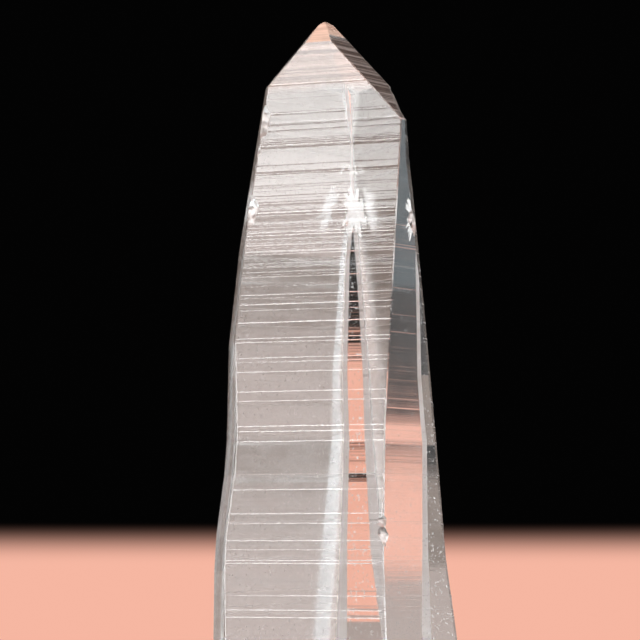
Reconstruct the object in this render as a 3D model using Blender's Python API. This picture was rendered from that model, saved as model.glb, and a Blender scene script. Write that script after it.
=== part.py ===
"""A lemurian quartz crystal: one clear, tapered, six-sided point.

It stands on its root end, cut flat where it grew on the rock. The growth axis is vertical. The broad, ladder-
marked front face looks along -Y. Azimuths run from -Y towards +X. Lengths are in millimetres until the last
step, which brings the finished mesh to metres.
"""

import math
import random

import bmesh
import bpy
from mathutils import Vector

NODE = "crystal"
METRES = 0.001

# Driving dimensions
HEIGHT = 72.2  # the worn tip above the cut root
AXIS_AT = Vector((-0.94, -2.10))  # the growth axis, seen from the middle of the crystal's bounding box
POINT_LEAN = math.radians(38.21)  # angle between a face of the point and the growth axis, fixed for quartz
CUT_RIM, CUT_RIM_HEIGHT = 0.2, 0.35  # how far, and how high, the rim of the cut root is broken back
TIP_WEAR = 0.55  # height of the rounding on the tip

# The six prism faces, anticlockwise from above: name, then (height, distance from the growth axis), and last
# the height at which the face of the point above it would meet the axis
PRISM = (
    ("front", ((0.0, 8.3), (19.5, 7.4), (HEIGHT, 3.45)), 74.5),
    ("right", ((0.0, 9.9), (19.5, 9.6), (26.0, 9.07), (31.0, 8.85), (37.0, 8.62), (HEIGHT, 8.5)), 73.55),
    ("back_right", ((0.0, 10.3), (16.0, 10.1), (26.0, 8.75), (36.0, 7.95), (57.0, 5.75), (HEIGHT, 3.8)), 72.1),
    ("back", ((0.0, 12.5), (36.0, 12.1), (47.0, 10.65), (56.0, 9.75), (62.0, 8.3), (HEIGHT, 4.3)), 79.0),
    ("back_left", ((0.0, 6.95), (19.5, 6.5), (36.0, 6.05), (52.0, 4.75), (HEIGHT, 1.7)), 72.1),
    ("left", ((0.0, 9.6), (25.0, 9.58), (28.0, 9.42), (33.0, 8.72), (36.0, 8.5), (44.0, 8.52), (52.3, 7.69),
              (57.0, 7.05), (66.0, 5.75), (HEIGHT, 4.9)), 73.5),
)  # fmt: skip
SIDES = len(PRISM)
TURN = math.radians(360 / SIDES)

# The narrow facet on the edge between each prism face and the next: (height, width). Three are real, and the
# others are no more than a worn edge.
WORN = ((0.0, 0.12), (HEIGHT, 0.12))
EDGE_FACETS = (
    WORN,
    ((0.0, 0.9), (20.0, 0.7), (47.0, 0.7), (54.0, 1.1), (62.0, 1.4), (HEIGHT, 0.5)),
    ((0.0, 1.6), (26.0, 1.4), (36.0, 0.9), (47.0, 0.5), (HEIGHT, 0.4)),
    ((0.0, 1.4), (20.0, 0.95), (27.0, 0.6), (47.0, 0.38), (HEIGHT, 0.3)),
    WORN,
    WORN,
)
FACET_SHARE = 0.8  # a facet takes at most this share of the narrower face beside it

# The ladders: growth ledges right across three of the faces. The deep ones have their own heights, and fine ones
# lie between them, wide apart at the root and close together near the point.
LADDER_FACES = ("front", "back_right", "back_left")
DEEP_LEDGES = (4.1, 8.6, 13.2, 17.5, 21.0, 22.6, 25.7, 28.4, 32.3, 35.4, 38.6, 41.9, 45.4, 49.1, 51.2, 53.2, 54.9,
               58.4, 61.2, 63.7, 66.1)  # fmt: skip
FINE_SEED = 7
FINE_FROM, FINE_TO = 2.0, 68.5
FINE_SPACING_LOW, FINE_SPACING_HIGH = 1.2, 0.42
FINE_SPREAD = (0.45, 1.55)
FINE_STEP = 0.75  # the share of its taper that a face makes good at a fine ledge, where a deep one makes good all
LEDGE_SLOPE = 0.09  # height of the slope that ends each ledge
CLEAR_OF_NEXT = 0.2
POINT_RINGS = 9
EXACT = 0.002  # how closely the height is found at which a face starts or ends

# Conchoidal chips: (height, prism face before the edge, length along the edge, depth)
CHIPS = (
    (64.0, "left", 3.2, 0.26),
    (63.0, "left", 1.1, 0.24),
    (60.5, "left", 0.9, 0.16),
    (55.9, "left", 2.8, 0.36),
    (28.4, "front", 2.6, 0.30),
    (54.2, "right", 1.9, 0.28),
    (66.2, "right", 1.6, 0.24),
    (56.5, "back", 3.4, 0.45),
)
CHIP_SEGMENTS, CHIP_RINGS = 24, 14
WELD = 0.01


def clear_scene():
    """Removes what the start-up file holds."""
    for old in list(bpy.data.objects):
        bpy.data.objects.remove(old)


def along(points, z):
    """The value at height z of a line through (height, value) points."""
    if z <= points[0][0]:
        return points[0][1]
    for (z0, v0), (z1, v1) in zip(points, points[1:]):
        if z <= z1:
            return v0 + (v1 - v0) * (z - z0) / (z1 - z0)
    return points[-1][1]


def out_and_side(azimuth):
    """The outward normal at an azimuth, and the direction along the face towards higher azimuths."""
    return (
        Vector((math.sin(azimuth), -math.cos(azimuth))),
        Vector((math.cos(azimuth), math.sin(azimuth))),
    )


def prism_and_point(z, level):
    """How far each prism face stands from the axis at height z, and the face of the point above it.

    A ladder face keeps, up to its next ledge, the distance that it had at level.
    """
    rim = CUT_RIM * max(0.0, 1 - z / CUT_RIM_HEIGHT)
    prism = [along(outline, level if name in LADDER_FACES else z) - rim for name, outline, _ in PRISM]
    point = [(meets_axis - z) * math.tan(POINT_LEAN) for _, _, meets_axis in PRISM]
    return prism, point


def beside(values, i):
    """The sum of the values on either side of face i."""
    return values[i - 1] + values[(i + 1) % SIDES]


def face_distances(z, level):
    """How far each of the six outer faces stands from the axis at height z."""
    nearest = [min(pair) for pair in zip(*prism_and_point(z, level))]
    # A face that lies wholly outside its two neighbours has no width left
    return [min(nearest[i], beside(nearest, i)) for i in range(SIDES)]


def section(z, level):
    """The corners of the crystal's outline at height z: six faces and the facets on their edges."""
    faces = face_distances(z, level)
    widths = [(beside(faces, i) - faces[i]) / math.cos(TURN / 2) for i in range(SIDES)]
    lines = []
    for i in range(SIDES):
        after = (i + 1) % SIDES
        facet = min(along(EDGE_FACETS[i], z), FACET_SHARE * min(widths[i], widths[after]))
        edge = (faces[i] + faces[after]) / (2 * math.cos(TURN / 2))
        lines.append((i * TURN, faces[i]))
        lines.append(((i + 0.5) * TURN, edge - facet / (2 * math.tan(TURN))))
    corners = []
    for k, (azimuth, distance) in enumerate(lines):
        beyond = lines[(k + 1) % len(lines)][1]
        out, side = out_and_side(azimuth)
        reach = (beyond - distance * math.cos(TURN / 2)) / math.sin(TURN / 2)
        corners.append(out * distance + side * reach)
    return corners


def ledges():
    """The ledges of the ladders from the root up, as (height, True if it is deep)."""
    chance = random.Random(FINE_SEED)
    found = [(z, True) for z in DEEP_LEDGES]
    z = FINE_FROM
    while z < FINE_TO:
        if all(abs(z - deep) > CLEAR_OF_NEXT for deep in DEEP_LEDGES):
            found.append((z, False))
        spacing = FINE_SPACING_LOW + (FINE_SPACING_HIGH - FINE_SPACING_LOW) * z / FINE_TO
        z += spacing * chance.uniform(*FINE_SPREAD)
    return sorted(found)


def shape_at(z, level):
    """Which faces have given way to the point, and which have any width, at height z."""
    prism, point = prism_and_point(z, level)
    nearest = [min(pair) for pair in zip(prism, point)]
    return [(point[i] < prism[i], nearest[i] < beside(nearest, i)) for i in range(SIDES)]


def turning_heights(low, high, level):
    """The heights between low and high at which a face starts or ends."""
    if shape_at(low, level) == shape_at(high, level):
        return []
    middle = (low + high) / 2
    if high - low < EXACT:
        return [middle]
    return turning_heights(low, middle, level) + turning_heights(middle, high, level)


def rings():
    """Every ring of the loft, as (height, level of the last ledge), from the root to the tip."""
    level = 0.0
    found = [(0.0, level), (CUT_RIM_HEIGHT, level)]
    for z, deep in ledges():
        found.append((z - LEDGE_SLOPE, level))
        level = z if deep else level + FINE_STEP * (z - level)
        found.append((z, level))
    last, top = found[-1][0], HEIGHT - TIP_WEAR
    found += [(last + (top - last) * step / POINT_RINGS, level) for step in range(1, POINT_RINGS + 1)]
    for (low, level), (high, next_level) in zip(found[:], found[1:]):
        if level == next_level:
            found += [(z, level) for z in turning_heights(low, high, level)]
    return sorted(found)


def new_object(name, bm):
    """Turns a finished bmesh into an object."""
    mesh = bpy.data.meshes.new(name)
    bm.to_mesh(mesh)
    bm.free()
    return bpy.data.objects.new(name, mesh)


def lofted_crystal():
    """The whole crystal as one closed mesh, lofted through its rings and rounded over at the tip.

    The rings are unlike one another, as faces end and others start on the way up, so the loft is made by hand.
    """
    bm = bmesh.new()
    rows = [[bm.verts.new((p.x, p.y, z)) for p in section(z, level)] for z, level in rings()]
    last = [v.co.copy() for v in rows[-1]]
    centre = sum(last, Vector()) / len(last)
    for share in (0.5, 0.8, 1.0):
        shrink = math.sqrt(1 - (0.9 * share) ** 2)
        lift = Vector((0, 0, TIP_WEAR * share))
        rows.append([bm.verts.new(centre + (co - centre) * shrink + lift) for co in last])
    for low, high in zip(rows, rows[1:]):
        for k in range(len(low)):
            after = (k + 1) % len(low)
            bm.faces.new((low[k], low[after], high[after], high[k]))
    bm.faces.new(reversed(rows[0]))
    bm.faces.new(rows[-1])
    bmesh.ops.remove_doubles(bm, verts=bm.verts, dist=WELD)
    bmesh.ops.dissolve_degenerate(bm, edges=bm.edges, dist=WELD / 10)
    bmesh.ops.triangulate(bm, faces=bm.faces)
    bmesh.ops.recalc_face_normals(bm, faces=bm.faces)
    return new_object(NODE, bm)


def chip_cutter(number, height, before, length, depth):
    """A ball that scoops one conchoidal chip out of the edge after a prism face."""
    i = [name for name, _, _ in PRISM].index(before)
    corners = section(height, height)
    middle = (corners[2 * i] + corners[2 * i + 1]) / 2
    out, _ = out_and_side((i + 0.5) * TURN)
    radius = length**2 / (8 * depth) + depth / 2
    centre = middle + out * (radius - depth)
    bm = bmesh.new()
    bmesh.ops.create_uvsphere(bm, u_segments=CHIP_SEGMENTS, v_segments=CHIP_RINGS, radius=radius)
    bmesh.ops.translate(bm, verts=bm.verts, vec=(centre.x, centre.y, height))
    cutter = new_object(f"chip_{number}", bm)
    cutter.hide_render = True
    cutter.display_type = "WIRE"
    return cutter


def quartz():
    """Clear, faintly warm quartz."""
    material = bpy.data.materials.new("clear_quartz")
    material.use_nodes = True
    shader = material.node_tree.nodes["Principled BSDF"]
    shader.inputs["Base Color"].default_value = (0.97, 0.94, 0.92, 1)
    shader.inputs["Roughness"].default_value = 0.12
    shader.inputs["Metallic"].default_value = 0.0
    shader.inputs["IOR"].default_value = 1.544
    shader.inputs["Transmission Weight"].default_value = 1.0
    return material


def place(obj):
    """Brings a mesh to metres, with the middle of the crystal's base on the origin."""
    for vertex in obj.data.vertices:
        x, y, z = vertex.co
        vertex.co = Vector((x + AXIS_AT.x, y + AXIS_AT.y, z)) * METRES


def main():
    clear_scene()
    parts = bpy.data.collections.new("lemurian_quartz_crystal")
    cutters = bpy.data.collections.new("cutters")
    for collection in (parts, cutters):
        bpy.context.scene.collection.children.link(collection)
    crystal = lofted_crystal()
    place(crystal)
    crystal.data.materials.append(quartz())
    parts.objects.link(crystal)
    for number, chip in enumerate(CHIPS):
        cutter = chip_cutter(number, *chip)
        place(cutter)
        cutters.objects.link(cutter)
        scoop = crystal.modifiers.new(cutter.name, "BOOLEAN")
        scoop.operation = "DIFFERENCE"
        scoop.solver = "EXACT"
        scoop.object = cutter


main()
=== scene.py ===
# %% [markdown]
# # A lemurian quartz crystal
# A lemurian crystal is a single clear point of quartz. Fine horizontal ledges, the ladders, climb its sides, and
# much of what the eye sees is light that has bounced about inside it. This lesson grows the crystal by a rule,
# chips its edges, cracks it beneath one of the chips, and then gives it a clear material and soft studio light.

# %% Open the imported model
import math

import bmesh
import bpy
import numpy as np
from mathutils import Matrix, Vector, noise
from mathutils.bvhtree import BVHTree


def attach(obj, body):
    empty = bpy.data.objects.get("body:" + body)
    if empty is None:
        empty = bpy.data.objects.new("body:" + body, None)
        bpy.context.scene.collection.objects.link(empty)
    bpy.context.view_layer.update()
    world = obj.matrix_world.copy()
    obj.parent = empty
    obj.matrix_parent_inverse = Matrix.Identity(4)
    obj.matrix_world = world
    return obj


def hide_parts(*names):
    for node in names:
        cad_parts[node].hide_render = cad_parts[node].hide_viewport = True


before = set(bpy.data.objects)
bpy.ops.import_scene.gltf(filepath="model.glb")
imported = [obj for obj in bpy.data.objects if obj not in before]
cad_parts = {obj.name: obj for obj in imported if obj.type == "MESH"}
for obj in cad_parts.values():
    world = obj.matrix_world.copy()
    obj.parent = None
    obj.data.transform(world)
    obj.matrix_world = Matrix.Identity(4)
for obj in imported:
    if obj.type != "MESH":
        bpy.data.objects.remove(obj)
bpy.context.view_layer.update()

# %% [markdown]
# ## Sums made of nodes
# The growth rule is a set of sums over every point of the crystal. Typing them as nodes one by one would hide the
# rule, so a small class lets a socket be added and multiplied like a number, and makes the Math nodes itself.


# %% A socket that behaves like a number
def feed(socket, value):
    """Links a field or a socket to an input, or types a plain value into it."""
    if isinstance(value, Field):
        value = value.socket
    if isinstance(value, bpy.types.NodeSocket):
        socket.id_data.links.new(value, socket)
    else:
        socket.default_value = value


class Field:
    """A value that differs from point to point. Each sum on it makes one Math node."""

    def __init__(self, socket):
        self.socket = socket

    def sum(self, operation, *values):
        node = self.socket.id_data.nodes.new("ShaderNodeMath")
        node.operation = operation
        for socket, value in zip(node.inputs, values):
            feed(socket, value)
        return Field(node.outputs[0])

    def __add__(self, other):
        return self.sum("ADD", self, other)

    def __sub__(self, other):
        return self.sum("SUBTRACT", self, other)

    def __rsub__(self, other):
        return self.sum("SUBTRACT", other, self)

    def __mul__(self, other):
        return self.sum("MULTIPLY", self, other)

    def __truediv__(self, other):
        return self.sum("DIVIDE", self, other)

    def __lt__(self, other):
        return self.sum("LESS_THAN", self, other)

    def __gt__(self, other):
        return self.sum("GREATER_THAN", self, other)

    __radd__, __rmul__ = __add__, __mul__

    def low(self, other):
        return self.sum("MINIMUM", self, other)

    def high(self, other):
        return self.sum("MAXIMUM", self, other)

    def to_power(self, other):
        return self.sum("POWER", self, other)

    def floor(self):
        return self.sum("FLOOR", self)

    def root(self):
        return self.sum("SQRT", self)

    def sine(self):
        return self.sum("SINE", self)

    def cosine(self):
        return self.sum("COSINE", self)

    def size(self):
        return self.sum("ABSOLUTE", self)

    def where(self, mask, other):
        """This value where mask is 1, and the other where it is 0."""
        return (self - other) * mask + other


def add(tree, kind, settings=None, **inputs):
    """One node, with its settings, and its inputs by name with _ for a space."""
    node = tree.nodes.new(kind)
    for name, value in (settings or {}).items():
        setattr(node, name, value)
    for name, value in inputs.items():
        feed(node.inputs[name.replace("_", " ")], value)
    return node


def random_between(tree, low, high, seed, **inputs):
    """A random number for each ledge or flake."""
    node = add(tree, "FunctionNodeRandomValue", {"data_type": "FLOAT"}, Seed=seed, **inputs)
    node.inputs[2].default_value, node.inputs[3].default_value = low, high
    return Field(node.outputs[1])


# %% [markdown]
# ## The growth rule
# A quartz crystal is six prism faces around an upright axis, with a sloping face of the point above each one. Each
# face grew at its own pace, so each has its own distance from the axis, and that distance shrinks towards the tip.
# At any height the outline is then six straight lines and the narrow facets on their corners. That is a rule of
# few numbers, so Geometry Nodes evaluate it on a grid that is rolled up into the crystal. Modelling the faces by
# hand would lose the ledges, which must run level right round the crystal.

# %% Sizes of the crystal, in millimetres
MM = 0.001
HEIGHT = 72.2
AXIS_AT = Vector((-0.94, -2.10))  # the growth axis in the model's frame
POINT_SLOPE = math.tan(math.radians(38.21))  # how a face of quartz's point leans in
SIDES = 6
COS30, SIN30, TAN60 = math.cos(math.radians(30)), 0.5, math.tan(math.radians(60))

# name, (height, distance from the axis), height at which the face of the point above it meets the axis
PRISM = (
    ("front", ((0.0, 8.3), (19.5, 7.4), (HEIGHT, 3.45)), 74.5),
    ("right", ((0.0, 9.9), (19.5, 9.6), (26.0, 9.07), (31.0, 8.85), (37.0, 8.62), (HEIGHT, 8.5)), 73.55),
    ("back_right", ((0.0, 10.3), (16.0, 10.1), (26.0, 8.75), (36.0, 7.95), (57.0, 5.75), (HEIGHT, 3.8)), 72.1),
    ("back", ((0.0, 12.5), (36.0, 12.1), (42.0, 11.12), (47.0, 10.65), (56.0, 9.75), (62.0, 8.3),
              (HEIGHT, 4.3)), 79.0),
    ("back_left", ((0.0, 6.95), (19.5, 6.5), (36.0, 6.05), (52.0, 4.75), (HEIGHT, 1.7)), 72.1),
    ("left", ((0.0, 9.6), (25.0, 9.58), (28.0, 9.42), (33.0, 8.72), (36.0, 8.5), (44.0, 8.52), (52.3, 7.69),
              (57.0, 7.05), (66.0, 5.75), (HEIGHT, 4.9)), 73.5),
)  # fmt: skip
LADDERS = {"front": 1.0, "back_right": 1.0, "back_left": 0.25}  # the faces with ledges, and how deep they are
# (height, width) of the facet after each prism face
WORN = ((0.0, 0.12), (HEIGHT, 0.12))
EDGE_FACETS = (
    WORN,
    ((0.0, 0.9), (20.0, 0.7), (47.0, 0.7), (54.0, 1.1), (62.0, 1.4), (HEIGHT, 0.5)),
    ((0.0, 1.6), (26.0, 1.4), (36.0, 0.9), (47.0, 0.5), (HEIGHT, 0.4)),
    ((0.0, 1.4), (20.0, 0.95), (27.0, 0.6), (47.0, 0.38), (HEIGHT, 0.3)),
    WORN,
    WORN,
)
FACET_SHARE = 0.8  # the most that a facet may take of the narrower face beside it
DEEP_LEDGES = (4.1, 8.6, 13.2, 17.5, 21.0, 21.6, 22.5, 25.7, 28.4, 32.3, 35.4,
               38.6, 41.9, 45.4, 49.1, 51.2, 53.2, 54.9, 58.4, 61.2, 63.7, 66.1)  # fmt: skip
LEDGE_SHIFT = 0.42  # how far a ledge may stray from its even place, in ledges
CUT_RIM, CUT_RIM_HEIGHT = 0.2, 0.35  # how far the edge of the cut is worn off, inwards and upwards
TIP_CENTRE = (0.03, -1.4)  # where the worn tip closes, from the growth axis
TAN_TIP, TAN_TIP_FADE = 70.3, 0.4  # the height at which the tan tip begins, and how long it takes to show in full
PAINTED_GLOW_HEAD, PAINTED_GLOW_HEAD_FADE = 65.2, 1.2  # the same for the painted reflection of warm light on the head of the front prism face
FURTHEST = 14.0  # no face is further from the axis
print("prism faces:", [name for name, _, _ in PRISM])

# %% The tree and its named inputs
growth = bpy.data.node_groups.new("crystal_growth", "GeometryNodeTree")
growth.interface.new_socket("Deep ledges", in_out="INPUT", socket_type="NodeSocketGeometry")
growth.interface.new_socket("Crystal", in_out="OUTPUT", socket_type="NodeSocketGeometry")
for name, kind, value in (
    ("Height", "NodeSocketFloat", HEIGHT),
    ("Tip wear", "NodeSocketFloat", 0.55),
    ("Ledges", "NodeSocketInt", 220),
    ("Spacing at root", "NodeSocketFloat", 0.6),
    ("Spacing at tip", "NodeSocketFloat", 0.17),
    ("Ledge slope", "NodeSocketFloat", 0.07),
    ("Columns on a face", "NodeSocketInt", 12),
    ("Columns on a facet", "NodeSocketInt", 2),
    ("Rings on the tip", "NodeSocketInt", 6),
    ("Seed", "NodeSocketInt", 7),
):
    growth.interface.new_socket(name, in_out="INPUT", socket_type=kind).default_value = value
growth.interface.new_socket("Material", in_out="INPUT", socket_type="NodeSocketMaterial")
group_input = add(growth, "NodeGroupInput")
given = {s.name: Field(s) for s in group_input.outputs if s.name}
print("named inputs:", [name for name in given])

# %% [markdown]
# ## Heights of the ledges
# The ledges lie wide apart at the root and close together near the tip, because the crystal grew in ever shorter
# steps. One formula gives the height of ledge number j for a spacing that shrinks evenly, and a random shift
# breaks it up. The deepest ledges are known, so the nearest ledge moves onto each of them.


# %% Ledge number j
def ledge_height(j):
    """The height of ledge j, 1 where it is a deep one, and the spacing of the ledges there."""
    root, tip = given["Spacing at root"], given["Spacing at tip"]
    top = given["Height"] - given["Tip wear"] - CUT_RIM_HEIGHT
    inner = (j > 0.5) * (j < given["Ledges"] - 0.5)
    shift = random_between(growth, -LEDGE_SHIFT, LEDGE_SHIFT, given["Seed"], ID=j)
    share = (j + shift * inner) / given["Ledges"]
    z = top * root / (root - tip) * (1 - (tip / root).to_power(share)) + CUT_RIM_HEIGHT
    spacing = root + (tip - root) * z / top
    point = add(growth, "ShaderNodeCombineXYZ", Z=z)
    nearest = add(growth, "GeometryNodeSampleNearest", Geometry=given["Deep ledges"])
    feed(nearest.inputs["Sample Position"], point.outputs[0])
    found = add(growth, "GeometryNodeSampleIndex", {"data_type": "FLOAT_VECTOR"}, Geometry=given["Deep ledges"])
    place = add(growth, "GeometryNodeInputPosition")
    feed(found.inputs["Value"], place.outputs[0])
    feed(found.inputs["Index"], nearest.outputs[0])
    parted = add(growth, "ShaderNodeSeparateXYZ", Vector=found.outputs[0])
    deep = Field(parted.outputs["Z"])
    near = ((deep - z).size() < spacing * 0.5) * inner
    return deep.where(near, z), near, spacing


def ring(row, wander):
    """What a row of the grid is like.

    Its height, the height at which ladder faces are read, how far it is shrunk at root and tip, how far over the
    worn tip it lies, which part of a ledge it is, and how deep that ledge bites.
    """
    ledges = given["Ledges"]
    step = (row - 2).high(0)
    j = (step / 3).floor().low(ledges)
    part = step - j * 3  # 0 on the ledge, 1 halfway up the riser, 2 at the foot of the next ledge
    here, deep, spacing = ledge_height(j)
    above, _, _ = ledge_height((j + 1).low(ledges))
    gap = above - here
    slope = given["Ledge slope"].low(gap * 0.35)
    z = here + (gap * 0.5) * (part > 0.5) * (part < 1.5) + (gap - slope) * (part > 1.5)
    bite = random_between(growth, 0.35, 1.0, given["Seed"] + 1, ID=j)
    bite = (deep * 0.6).high(bite.to_power(5.0) * 0.5)  # most ledges are faint and a few are not
    level = z - (z - here) * bite - wander * (0.1 + deep * 0.1) * spacing
    body_rows = ledges * 3 + 2
    share = ((row - body_rows) / given["Rings on the tip"]).high(0).low(1)
    z = (z + given["Tip wear"] * share) * (row > 1.5)
    shrink = (1 - share * share).high(0).root() * (row > 0.5)
    return z, level, shrink, share, part, bite


print("tree so far:", len(growth.nodes), "nodes")

# %% [markdown]
# ## The outline at one height
# Twelve straight lines, thirty degrees apart, close round the axis: a face, its facet, the next face and so on.
# Each ends where it meets its neighbours, which a sum of their three distances gives. A face that lies outside
# both neighbours has no width left, so it is held back to where it just vanishes.


# %% Twelve lines round the axis
def profile(points, z):
    """A line through (height, value) points, as a curve node, which holds numbers from 0 to 1."""
    node = growth.nodes.new("ShaderNodeFloatCurve")
    curve = node.mapping.curves[0]
    while len(curve.points) < len(points):
        curve.points.new(0.5, 0.5)
    for spot, (height, value) in zip(curve.points, points):
        spot.location = (height / HEIGHT, value / FURTHEST)
        spot.handle_type = "VECTOR"
    node.mapping.update()
    feed(node.inputs["Value"], z / HEIGHT)
    return Field(node.outputs[0]) * FURTHEST


def outline(z, level):
    """The distances of the twelve lines from the axis, and 1 for each face that has given way to the point."""
    rim = (1 - z / CUT_RIM_HEIGHT).high(0) * CUT_RIM
    read_at = {name: z + (level - z) * share for name, share in LADDERS.items()}
    prism = [profile(points, read_at.get(name, z)) - rim for name, points, _ in PRISM]
    point = [(meets - z) * POINT_SLOPE for _, _, meets in PRISM]
    near = [a.low(b) for a, b in zip(prism, point)]
    face = [near[i].low(near[i - 1] + near[(i + 1) % SIDES]) for i in range(SIDES)]
    width = [(face[i - 1] + face[(i + 1) % SIDES] - face[i]) / COS30 for i in range(SIDES)]
    lines = []
    for i in range(SIDES):
        after = (i + 1) % SIDES
        facet = profile(EDGE_FACETS[i], z).low(width[i].low(width[after]) * FACET_SHARE)
        lines += [face[i], (face[i] + face[after]) / (2 * COS30) - facet / (2 * TAN60)]
    return lines, [a > b for a, b in zip(prism, point)]


def pick(k, values):
    """The value whose number is k."""
    node = growth.nodes.new("GeometryNodeIndexSwitch")
    node.data_type = "FLOAT"
    while len(node.index_switch_items) < len(values):
        node.index_switch_items.new()
    feed(node.inputs["Index"], k)
    for number, value in enumerate(values):
        feed(node.inputs[number + 1], value)
    return Field(node.outputs[0])


def line_of(column):
    """Which of the twelve lines a column of the grid lies on, and how far along it, from 0 to 1."""
    on_face, on_facet = given["Columns on a face"], given["Columns on a facet"]
    pair = (column / (on_face + on_facet)).floor()
    rest = column - pair * (on_face + on_facet)
    facet = rest > on_face - 0.5
    k = pair * 2 + facet
    share = ((rest - on_face) / on_facet).where(facet, rest / on_face)
    return k - (k > 11.5) * 12, share


print("tree so far:", len(growth.nodes), "nodes")

# %% [markdown]
# ## Rolling the grid up
# A flat grid already has the right quads. Its columns become places round the crystal and its rows become heights.
# The first and last rows shrink to a point each, which closes the cut root and the worn tip, and merging what
# coincides closes the seam. Each face also stores its finish, such as how frosted it is, for the material to read.

# %% Finish of each face: first the twelve lines of the prism, then the twelve of the point
# front, edge, right, bevel, back right, bevel, back, bevel, back left, edge, left, edge
FINISH = {
    # roughness of the surface
    "frost": ((0.05, 0.08, 0.02, 0.2, 0.22, 0.9, 0.03, 0.9, 0.12, 0.05, 0.06, 0.05),
              (0.12, 0.08, 0.06, 0.1, 0.18, 0.2, 0.1, 0.2, 0.18, 0.1, 0.1, 0.08)),
    # strength of the fine level lines
    "relief": ((0.35, 0.3, 0.05, 0.2, 0.5, 0.2, 0.1, 0.2, 0.2, 0.4, 0.3, 0.4),
               (0.1, 0.3, 1.2, 0.3, 0.8, 0.6, 0.5, 0.6, 0.8, 0.6, 0.8, 0.5)),
    # how milky it is, from clear at 0 to white at 1
    "milk": ((0.0, 0.06, 0.0, 0.05, 0.0, 0.2, 0.0, 0.4, 0.0, 0.0, 0.0, 0.0),
             (0.85, 0.1, 0.0, 0.05, 0.0, 0.2, 0.0, 0.2, 0.0, 0.0, 0.0, 0.0)),
    # how many white specks sit on it
    "specks": ((0.1, 0.3, 0.2, 0.6, 0.1, 0.6, 1.0, 0.6, 0.1, 0.3, 0.1, 0.3),
               (0.0, 0.3, 0.1, 0.5, 0.1, 0.5, 0.5, 0.5, 0.1, 0.5, 0.1, 0.3)),
    # how tan it is
    "warm": ((0.0,) * 12, (1.0, 0.5, 0.0, 0.0, 0.0, 0.0, 0.0, 0.0, 0.0, 0.0, 0.0, 0.5)),
    # how dark it is painted: painted shade for the dark surroundings seen in the steep face of the point
    "painted_shade": ((0.0,) * 12, (0.0, 0.4, 1.0, 0.4, 0.0, 0.0, 0.0, 0.0, 0.0, 0.0, 0.0, 0.0)),
}  # fmt: skip
print("finish of each face:", list(FINISH))

# %% Points of the grid
columns = (given["Columns on a face"] + given["Columns on a facet"]) * SIDES + 1
rows = given["Ledges"] * 3 + given["Rings on the tip"] + 3
grid = add(growth, "GeometryNodeMeshGrid", Vertices_X=columns, Vertices_Y=rows)
index = Field(add(growth, "GeometryNodeInputIndex").outputs[0])
column = (index / rows).floor()
row = index - column * rows
# each ledge wanders a little on its way round, by a noise read on a circle so that it meets its own start
around = column * math.tau / (columns - 1)
ledge = ((row - 2) / 3).floor()
spot = add(growth, "ShaderNodeCombineXYZ", X=around.cosine() * 0.5, Y=around.sine() * 0.5, Z=ledge * 3.7)
wander = Field(add(growth, "ShaderNodeTexNoise", Vector=spot.outputs[0], Scale=1.0, Detail=1.0).outputs[0])
z, level, shrink, share, _, _ = ring(row, wander)
lines, _ = outline(z, level)
k, along = line_of(column)
here, before, after = (pick(k, lines[shift:] + lines[:shift]) for shift in (0, -1, 1))
start = (before - here * COS30) / -SIN30
end = (after - here * COS30) / SIN30
side = start + (end - start) * along
turn = k * math.radians(30)
x = turn.sine() * here + turn.cosine() * side
y = turn.sine() * side - turn.cosine() * here
x = (x - TIP_CENTRE[0] * (share > 0)) * shrink + TIP_CENTRE[0] * (share > 0)
y = (y - TIP_CENTRE[1] * (share > 0)) * shrink + TIP_CENTRE[1] * (share > 0)
place = add(growth, "ShaderNodeCombineXYZ", X=(x + AXIS_AT.x) * MM, Y=(y + AXIS_AT.y) * MM, Z=z * MM)
print("tree so far:", len(growth.nodes), "nodes")

# %% Faces of the grid and the finished mesh
face_column = (index / (rows - 1)).floor()
face_row = index - face_column * (rows - 1)
face_z, face_level, _, _, face_part, face_bite = ring(face_row, wander)
_, in_point = outline(face_z, face_level)
face_k, _ = line_of(face_column)
face_i = (face_k / 2).floor()
topped = pick(face_i, in_point)
finish = {name: pick(face_k, point).where(topped, pick(face_k, prism)) for name, (prism, point) in FINISH.items()}
tip = ((face_z - TAN_TIP) / TAN_TIP_FADE).high(0).low(1)
# the head of the front prism face is painted warm and milky, with dark bands along its level lines: a painted
# reflection of warm light, with painted shade in the bands
head = ((face_z - PAINTED_GLOW_HEAD) / PAINTED_GLOW_HEAD_FADE).high(0).low(1) * ((face_k < 1.5) + (face_k > 10.5)) * (1 - topped)
finish["milk"] = finish["milk"].high(tip * 0.6).high(head * 0.3)
finish["warm"] = finish["warm"].high(tip).high(head * 0.8)
# the steep face of the point is painted dark, as painted shade, except on the tip
finish["painted_shade"] = finish["painted_shade"] * (1 - tip)
finish["painted_bands"] = head
finish["root"] = face_row < 1.5
finish["milk"] = finish["milk"].high(finish["root"] * 0.6)
finish["tread"] = (face_part > 1.5) * (1 - finish["root"]) * face_bite

stored = grid.outputs["Mesh"]
for name, value in finish.items():
    node = add(growth, "GeometryNodeStoreNamedAttribute", {"data_type": "FLOAT", "domain": "FACE"}, Name=name)
    feed(node.inputs["Geometry"], stored)
    feed(node.inputs["Value"], value)
    stored = node.outputs["Geometry"]
rolled = add(growth, "GeometryNodeSetPosition", Geometry=stored, Position=place.outputs[0])
merged = add(growth, "GeometryNodeMergeByDistance", Geometry=rolled.outputs[0], Distance=1e-6)
smooth = add(growth, "GeometryNodeSetShadeSmooth", Geometry=merged.outputs[0], Shade_Smooth=True)
real = add(growth, "GeometryNodeRealizeInstances", Geometry=smooth.outputs[0])
coated = add(growth, "GeometryNodeSetMaterial", Geometry=real.outputs[0], Material=given["Material"])
out = add(growth, "NodeGroupOutput")
feed(out.inputs[0], coated.outputs[0])
print("growth tree:", len(growth.nodes), "nodes,", len(growth.links), "links")
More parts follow.
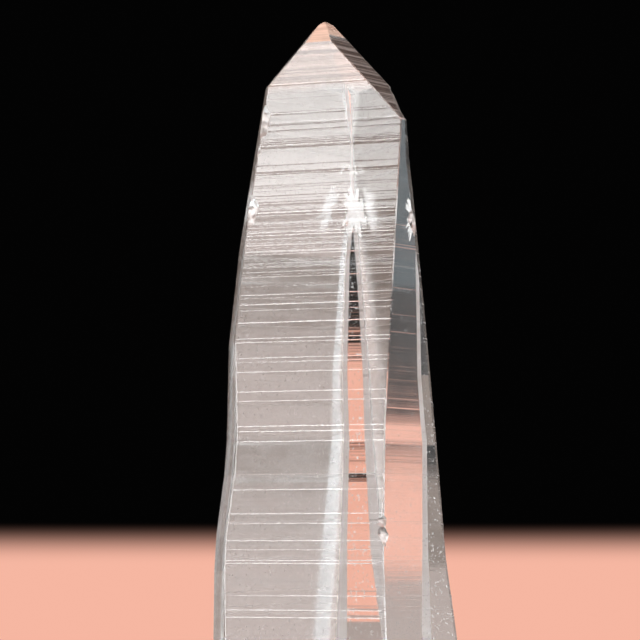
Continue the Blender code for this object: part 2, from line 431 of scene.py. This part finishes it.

# %% [markdown]
# ## Clear quartz
# Quartz bends light a little more than window glass and has almost no colour of its own. What makes this crystal
# look silvery is its surface: some faces are frosted by countless tiny ledges and others are clear, and the worn tip
# is tan and milky. The steep face beside it is painted dark, as painted shade for the dark surroundings seen in it,
# and the head of the front face is painted warm and milky, as a painted reflection of warm light. So one clear
# material reads the finish that each face stored, adds level striations as a bump, and absorbs a little light. A
# material for each face would hide what they share.


# %% Helpers for materials and objects
def shader_tree(name):
    material = bpy.data.materials.new(name)
    material.use_nodes = True
    return material, material.node_tree, material.node_tree.nodes["Principled BSDF"]


def stretched(tree, across, up, detail=2.0):
    """Noise in object space with its own grain across and up, in cells per millimetre."""
    coordinates = add(tree, "ShaderNodeTexCoord").outputs["Object"]
    mapping = add(tree, "ShaderNodeMapping", Vector=coordinates)
    mapping.inputs["Scale"].default_value = (across / MM, across / MM, up / MM)
    node = add(tree, "ShaderNodeTexNoise", Vector=mapping.outputs[0], Scale=1.0)
    node.inputs["Detail"].default_value = detail
    return Field(node.outputs[0])


def attribute(tree, name):
    return Field(add(tree, "ShaderNodeAttribute", {"attribute_name": name}).outputs["Fac"])


def blend(tree, share, first, second):
    """A colour between two, by a field from 0 to 1."""
    node = add(tree, "ShaderNodeMix", {"data_type": "RGBA"})
    feed(node.inputs["Factor"], share)
    for socket, colour in zip([socket for socket in node.inputs if socket.type == "RGBA"], (first, second)):
        feed(socket, (*colour, 1) if isinstance(colour, tuple) else colour)
    return [socket for socket in node.outputs if socket.type == "RGBA"][0]


def new_object(name, data):
    thing = bpy.data.objects.new(name, data)
    bpy.context.scene.collection.objects.link(thing)
    return thing


def take_shape(thing):
    """The mesh that an object's modifiers make of it. The modifiers have then done their work."""
    mesh = bpy.data.meshes.new_from_object(thing.evaluated_get(bpy.context.evaluated_depsgraph_get()))
    thing.modifiers.clear()
    return mesh


def grow(thing, tree, **values):
    """The mesh that a tree of nodes makes on an object, with the tree's inputs by name."""
    modifier = thing.modifiers.new(tree.name, "NODES")
    modifier.node_group = tree
    identifiers = {item.name: item.identifier for item in tree.interface.items_tree if item.in_out == "INPUT"}
    for name, value in values.items():
        modifier[identifiers[name]] = value
    bpy.context.view_layer.update()
    return take_shape(thing)


print("helpers: shader_tree, stretched, attribute, blend, new_object, take_shape, grow")

# %% Patterns on the surface
quartz, nodes, shader = shader_tree("clear_quartz")
patches = stretched(nodes, 0.5, 0.9, 4.0)
lines_fine = stretched(nodes, 0.012, 9.0, 2.0)
lines_broad = stretched(nodes, 0.006, 2.6, 2.0)
flakes = stretched(nodes, 1.1, 1.4, 3.0)
grains = stretched(nodes, 5.0, 5.0, 1.0)
lines = lines_fine * 0.35 + lines_broad * 0.65
chip = attribute(nodes, "chip")

# %% Clear quartz
shader.inputs["IOR"].default_value = 1.544
# the warm tint is the tan of the worn tip and of the chips, and on the head of the front face a painted reflection
# of warm light
tinted = blend(nodes, attribute(nodes, "warm").high(chip * 0.25), (1.0, 0.985, 0.975), (0.75, 0.46, 0.35))
# painted shade: the steep face of the point is painted near black along the level lines, for the dark surroundings
# seen in it
painted_shade = attribute(nodes, "painted_shade")
painted_dark = (painted_shade * (0.95 + (lines - 0.5) * 6)).high(painted_shade * 0.6)
# painted shade: dark bands along the level lines on the head of the front face
painted_dark = painted_dark.high(attribute(nodes, "painted_bands") * ((lines - 0.47) * 14).low(1) * 0.6).high(0).low(1)
feed(shader.inputs["Base Color"], blend(nodes, painted_dark, tinted, (0.05, 0.035, 0.03)))
rough = attribute(nodes, "frost") * (0.55 + patches * 0.9) + attribute(nodes, "tread") * 0.15
rough = rough + attribute(nodes, "root") * 0.4 + chip * 0.3
feed(shader.inputs["Roughness"], rough.low(0.75))
milk = attribute(nodes, "milk") * (0.5 + patches * 0.6 + (lines - 0.5) * 1.5) + attribute(nodes, "tread") * 0.08
milk = milk + chip * ((flakes - 0.5) * 5).high(0).low(0.5)
milk = milk + ((grains - 0.635) * 12).high(0).low(1) * (patches > 0.45) * attribute(nodes, "specks")
feed(shader.inputs["Transmission Weight"], 1 - milk.high(0).low(0.9))
level_lines = lines * attribute(nodes, "relief") + flakes * chip * 6
bump = add(nodes, "ShaderNodeBump", Height=level_lines.socket, Strength=0.5, Distance=0.04 * MM)
feed(shader.inputs["Normal"], bump.outputs[0])
absorb = add(nodes, "ShaderNodeVolumeAbsorption", Color=(0.97, 0.96, 0.95, 1), Density=15.0)
feed(nodes.nodes["Material Output"].inputs["Volume"], absorb.outputs[0])
print("clear quartz:", len(nodes.nodes), "nodes")

# %% Grow the crystal
marks = bpy.data.meshes.new("deep_ledges")
marks.from_pydata([(0, 0, height) for height in DEEP_LEDGES], [], [])
grown = new_object("crystal_grown", marks)
mesh = grow(grown, growth, Material=quartz, Ledges=220, Seed=7)
bpy.data.objects.remove(grown)
body = new_object("quartz_point", mesh)
co = np.empty(len(mesh.vertices) * 3)
mesh.vertices.foreach_get("co", co)
co = co.reshape(-1, 3)
print("grown crystal:", len(mesh.polygons), "faces, box", co.min(0).round(5), co.max(0).round(5))

# %% [markdown]
# ## Chips
# A knock on an edge of quartz takes out a shallow shell-shaped flake. Each is cut by a slightly rippled ball, with
# a Boolean, because only a real hollow breaks the outline and catches the light as the real chips do.

# %% Cut the chips
# height, azimuth of the edge, length along the edge, depth
CHIPS = (
    (64.0, 330, 3.2, 0.26),
    (63.0, 330, 1.1, 0.24),
    (60.5, 330, 0.9, 0.16),
    (55.9, 330, 2.8, 0.36),
    (28.4, 30, 2.6, 0.30),
    (54.2, 90, 1.9, 0.28),
    (66.2, 90, 1.6, 0.24),
    (56.5, 210, 3.4, 0.45),
)
LEVEL_BAND = 0.4  # millimetres above and below a height that still count as that height


def outward(azimuth):
    """The level direction towards an azimuth, which is 0 at the front and counts to the right."""
    turn = math.radians(azimuth)
    return np.array((math.sin(turn), -math.cos(turn)))


def edge_point(height, azimuth):
    """The point of the crystal furthest out towards an azimuth, near a height in millimetres."""
    level = np.abs(co[:, 2] - height * MM) < LEVEL_BAND * MM
    spots = co[level]
    return spots[np.argmax(spots[:, :2] @ outward(azimuth))]


def mark_faces(mesh, name, value):
    """Stores one number on every face, for the material to read."""
    mesh.attributes.new(name, "FLOAT", "FACE").data.foreach_set("value", [value] * len(mesh.polygons))


def chip_ball(number, height, azimuth, length, depth):
    """The ball that cuts one chip."""
    radius = (length**2 / (8 * depth) + depth / 2) * MM
    spot = edge_point(height, azimuth)
    centre = Vector((*(spot[:2] + outward(azimuth) * (radius - depth * MM)), height * MM))
    bm = bmesh.new()
    bmesh.ops.create_icosphere(bm, subdivisions=5, radius=radius)
    for vertex in bm.verts:
        spot = vertex.co / MM + Vector((number * 7.3, 0, 0))
        ripple = noise.noise(spot * 1.3) * 0.9 + noise.noise(spot * 4.0) * 0.35
        vertex.co *= 1 + ripple * depth * MM / radius
    bmesh.ops.translate(bm, verts=bm.verts, vec=centre)
    mesh = bpy.data.meshes.new(f"chip_{number}")
    bm.to_mesh(mesh)
    bm.free()
    mark_faces(mesh, "chip", 1.0)
    mesh.materials.append(quartz)
    return new_object(mesh.name, mesh)


mark_faces(mesh, "chip", 0.0)
balls = [chip_ball(number, *chip) for number, chip in enumerate(CHIPS)]
for ball in balls:
    cut = body.modifiers.new(ball.name, "BOOLEAN")
    cut.operation, cut.solver, cut.object = "DIFFERENCE", "EXACT", ball
    cut.use_hole_tolerant = True
chipped = take_shape(body)
for ball in balls:
    bpy.data.objects.remove(ball)
body.data = chipped
chipped.set_sharp_from_angle(angle=math.radians(3))
fresh = np.empty(len(chipped.polygons), dtype=np.float32)
chipped.attributes["chip"].data.foreach_get("value", fresh)
print("chipped crystal:", len(chipped.polygons), "faces, of them in chips:", int((fresh > 0.5).sum()))

# %% Stand it in for the solid
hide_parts("crystal")
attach(body, "root")

# %% [markdown]
# ## Fracture veils
# The knock on the back edge also cracked the quartz beneath it. Such a crack holds a film of air and scatters light,
# so it shows as a white star. Geometry Nodes scatter thin lens-shaped flakes that spread from one point, longest
# upwards and downwards, as the cracks in the crystal do. A flat white patch on the edge would look the same only
# from the front.

# %% Crack material
crack, crack_nodes, crack_shader = shader_tree("crack_white")
clouds = stretched(crack_nodes, 0.8, 0.8)
feed(crack_shader.inputs["Base Color"], blend(crack_nodes, clouds, (1.0, 1.0, 1.0), (1.0, 0.95, 0.93)))
crack_shader.inputs["Roughness"].default_value = 0.4
holes = (stretched(crack_nodes, 2.2, 2.2, 4.0) - 0.25) * 8
feed(crack_shader.inputs["Alpha"], holes.high(0).low(0.95))
print("crack material:", len(crack_nodes.nodes), "nodes")

# %% The veil tree
veils = bpy.data.node_groups.new("fracture_veils", "GeometryNodeTree")
veils.interface.new_socket("Veils", in_out="OUTPUT", socket_type="NodeSocketGeometry")
for name, kind, value in (
    ("Flakes", "NodeSocketInt", 22),
    ("Length", "NodeSocketFloat", 1.1),
    ("Width", "NodeSocketFloat", 0.16),
    ("Thickness", "NodeSocketFloat", 0.012),
    ("Seed", "NodeSocketInt", 3),
):
    veils.interface.new_socket(name, in_out="INPUT", socket_type=kind).default_value = value
veils.interface.new_socket("Material", in_out="INPUT", socket_type="NodeSocketMaterial")
asked = {s.name: Field(s) for s in add(veils, "NodeGroupInput").outputs if s.name}
SEGMENTS, RINGS = 14, 8  # of one flake


def chance(low, high, shift):
    """A random number for each flake."""
    return random_between(veils, low, high, asked["Seed"] + shift)


heading = chance(0.0, math.tau, 0)
reach = asked["Length"] * (heading.cosine().size() * 0.75 + 0.45) * chance(0.5, 1.2, 1) * MM
turned = add(veils, "ShaderNodeCombineXYZ", X=chance(-0.1, 0.1, 2), Y=heading, Z=chance(-0.1, 0.1, 4))
width = asked["Width"] * chance(0.5, 1.6, 3) * MM
sized = add(veils, "ShaderNodeCombineXYZ", X=width, Y=asked["Thickness"] * MM, Z=reach)
ball = add(veils, "GeometryNodeMeshUVSphere", Segments=SEGMENTS, Rings=RINGS, Radius=1.0)
lens = add(veils, "GeometryNodeTransform", Geometry=ball.outputs[0])
lens.inputs["Translation"].default_value = (0, 0, 0.9)  # so that a flake starts at the middle of the star
points = add(veils, "GeometryNodePoints", Count=asked["Flakes"])
flake_set = add(veils, "GeometryNodeInstanceOnPoints", Points=points.outputs[0], Instance=lens.outputs[0])
feed(flake_set.inputs["Rotation"], turned.outputs[0])
feed(flake_set.inputs["Scale"], sized.outputs[0])
single = add(veils, "GeometryNodeRealizeInstances", Geometry=flake_set.outputs[0])
white = add(veils, "GeometryNodeSetMaterial", Geometry=single.outputs[0], Material=asked["Material"])
feed(add(veils, "NodeGroupOutput").inputs[0], white.outputs[0])
print("veil tree:", len(veils.nodes), "nodes")


# %% Place the stars of cracks
surface = BVHTree.FromPolygons([v.co for v in chipped.vertices], [tuple(p.vertices) for p in chipped.polygons])
FLAKE_POINTS = SEGMENTS * (RINGS - 1) + 2  # vertices of one flake
CLEARANCE = 0.05  # millimetres between a flake and the surface
DRAWN_IN = 0.88  # how much of its distance from the middle a flake keeps, each time it is drawn in


def reaches_out(spots):
    """Whether any of these points comes too near the surface of the crystal, or passes it."""
    for spot in spots:
        near, normal, _, _ = surface.find_nearest(Vector(spot))
        if (near - Vector(spot)).dot(normal) < CLEARANCE * MM:
            return True
    return False


def star(name, height, azimuth, inside, facing, **values):
    """Cracks that spread from a point this far inside the edge, both in millimetres."""
    carrier = new_object(name, bpy.data.meshes.new(name))
    mesh = grow(carrier, veils, Material=crack, **values)
    spot = edge_point(height, azimuth)
    middle = Vector((*(spot[:2] - outward(azimuth) * inside * MM), height * MM))
    turn = Matrix.Rotation(math.radians(facing), 4, "Z") @ Matrix.Rotation(math.radians(4), 4, "X")
    mesh.transform(Matrix.Translation(middle) @ turn)
    spots = np.array([vertex.co for vertex in mesh.vertices]).reshape(-1, FLAKE_POINTS, 3)
    for flake in spots:  # a crack ends inside the crystal, so a flake that reaches out is drawn in
        while reaches_out(flake):
            flake[:] = np.array(middle) + (flake - np.array(middle)) * DRAWN_IN
    mesh.vertices.foreach_set("co", spots.reshape(-1))
    mesh.update()
    carrier.data = mesh
    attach(carrier, "root")
    print(name, len(mesh.polygons), "faces at", [round(c / MM, 1) for c in middle])


star("burst_on_back_edge", 56.0, 196, 2.2, 171, Flakes=90, Length=0.95, Width=0.12)
star("burst_above", 59.6, 196, 1.0, 171, Flakes=9, Length=0.5, Width=0.08, Seed=11)

# %% [markdown]
# ## Floor, camera and light
# The crystal stands on a plain pale floor. The camera is low and looks slightly up, as in the photograph. The soft
# panels in front light the milky faces and the cracks. Those to the right and behind stand where the clear faces
# send the eye. None stands straight behind, because every edge would mirror it as a white rim.

# %% Floor
FLOOR_HALF_WIDTH = 0.3  # metres
FLOOR_GAP = 0.02  # millimetres below the cut root. In one plane with the floor, the root would render black
bm = bmesh.new()
bmesh.ops.create_grid(bm, x_segments=1, y_segments=1, size=FLOOR_HALF_WIDTH)
bmesh.ops.translate(bm, verts=bm.verts, vec=(0, 0, -FLOOR_GAP * MM))
floor_mesh = bpy.data.meshes.new("floor")
bm.to_mesh(floor_mesh)
bm.free()
floor = new_object("floor", floor_mesh)
pale, _, paint = shader_tree("pale_floor")
paint.inputs["Base Color"].default_value = (0.56, 0.43, 0.385, 1)
paint.inputs["Roughness"].default_value = 0.7
floor_mesh.materials.append(pale)

# %% Camera
AZIMUTH, PITCH = math.radians(16), math.radians(6.5)
DISTANCE, ASIDE, EYE = 179.0, -0.8, 26.0  # from the axis, to the right, and up, in millimetres
SENSOR, FOCAL_PIXELS, PICTURE_PIXELS = 36, 2100, 640  # the lens, as a focal length in pixels of the picture
right = Vector((math.cos(AZIMUTH), math.sin(AZIMUTH), 0))
forward = Vector((-math.sin(AZIMUTH) * math.cos(PITCH), math.cos(AZIMUTH) * math.cos(PITCH), math.sin(PITCH)))
camera_data = bpy.data.cameras.new("camera")
camera = new_object("camera", camera_data)
before_axis = Vector((AXIS_AT.x + DISTANCE * math.sin(AZIMUTH), AXIS_AT.y - DISTANCE * math.cos(AZIMUTH), EYE))
camera.location = (before_axis + right * ASIDE) * MM
camera.rotation_euler = forward.to_track_quat("-Z", "Y").to_euler()
camera_data.sensor_width = SENSOR
camera_data.lens = SENSOR * FOCAL_PIXELS / PICTURE_PIXELS
camera_data.clip_start, camera_data.clip_end = 0.005, 20
bpy.context.scene.camera = camera
print("camera at", [round(c, 4) for c in camera.location], "lens", round(camera_data.lens, 1))

# %% Soft panels
AIM = Vector((0, 0, 0.04))  # the point that the panels face, in metres
PANEL_DISTANCE = 1.4  # metres
WATTS = 4  # for each square metre of a panel, at a brightness of 1


def panel(name, azimuth, elevation, width, height, brightness, colour=(0.94, 0.98, 1.0)):
    """A soft panel that the crystal sees at an azimuth and elevation, this wide and high, all in degrees."""
    turn, lift = math.radians(azimuth), math.radians(elevation)
    light = bpy.data.lights.new(name, "AREA")
    light.shape = "RECTANGLE"
    light.size = 2 * PANEL_DISTANCE * math.tan(math.radians(width / 2))
    light.size_y = 2 * PANEL_DISTANCE * math.tan(math.radians(height / 2))
    light.energy, light.color = brightness * light.size * light.size_y * WATTS, colour
    lamp = new_object(name, light)
    way = Vector((math.sin(turn) * math.cos(lift), -math.cos(turn) * math.cos(lift), math.sin(lift)))
    lamp.location = AIM + way * PANEL_DISTANCE
    lamp.rotation_euler = (-way).to_track_quat("-Z", "Y").to_euler()
    lamp.visible_camera = False
    print(name, round(light.energy, 1), "W")


panel("left_low_panel", -60, 5, 40, 14, 5.0)
panel("front_high_panel", -20, 28, 44, 20, 6.0)
panel("front_low_panel", 40, 3, 60, 10, 7.5)
panel("right_panel", 100, 20, 60, 24, 1.8, (0.78, 0.93, 1.0))
panel("right_low_panel", 100, 3, 60, 10, 0.75)
panel("right_back_panel", 148, 30, 30, 16, 4.5)
panel("left_back_panel", -110, 13, 40, 10, 0.2)
panel("front_top_panel", 0, 42, 36, 20, 6.2)
panel("top_panel", 0, 84, 26, 26, 1.0)

# %% [markdown]
# ## Backdrop
# The crystal narrows upwards, so it works as a weak prism and bends the view through it down towards its base. The
# backdrop is black above the horizon, and warm below it straight behind the crystal. So the clear strip and the
# right face turn from near black to pink partway down, as the real ones do, with nothing painted on them.

# %% Black above the horizon, warm below it
world = bpy.data.worlds.new("backdrop")
bpy.context.scene.world = world
world.use_nodes = True
sky = world.node_tree
background = sky.nodes["Background"]
parts = add(sky, "ShaderNodeSeparateXYZ", Vector=add(sky, "ShaderNodeTexCoord").outputs["Generated"])
way_x, way_y, way_z = (Field(socket) for socket in parts.outputs)


def between(value, low, high):
    """0 below the low value, 1 above the high one, and a smooth step between them."""
    node = add(sky, "ShaderNodeMapRange", {"interpolation_type": "SMOOTHERSTEP"}, Value=value)
    node.inputs["From Min"].default_value, node.inputs["From Max"].default_value = low, high
    return Field(node.outputs[0])


STRAIGHT_BEHIND = math.radians(196)
behind = between(way_x * math.sin(STRAIGHT_BEHIND) - way_y * math.cos(STRAIGHT_BEHIND), 0.93, 0.985)
ground = blend(sky, behind, (0.22, 0.175, 0.15), (0.92, 0.47, 0.36))
glow = blend(sky, between(way_z, -0.004, 0.018), ground, (0.001, 0.001, 0.001))
feed(background.inputs["Color"], glow)

# %% [markdown]
# ## Settings of the picture
# Light crosses many faces before it leaves a crystal, so the paths may be long. The plain view transform keeps the
# black backdrop black.

# %% Light paths and view
scene = bpy.context.scene
scene.cycles.max_bounces = 24
scene.cycles.transmission_bounces = 24
scene.cycles.glossy_bounces = 12
scene.view_settings.view_transform = "Standard"
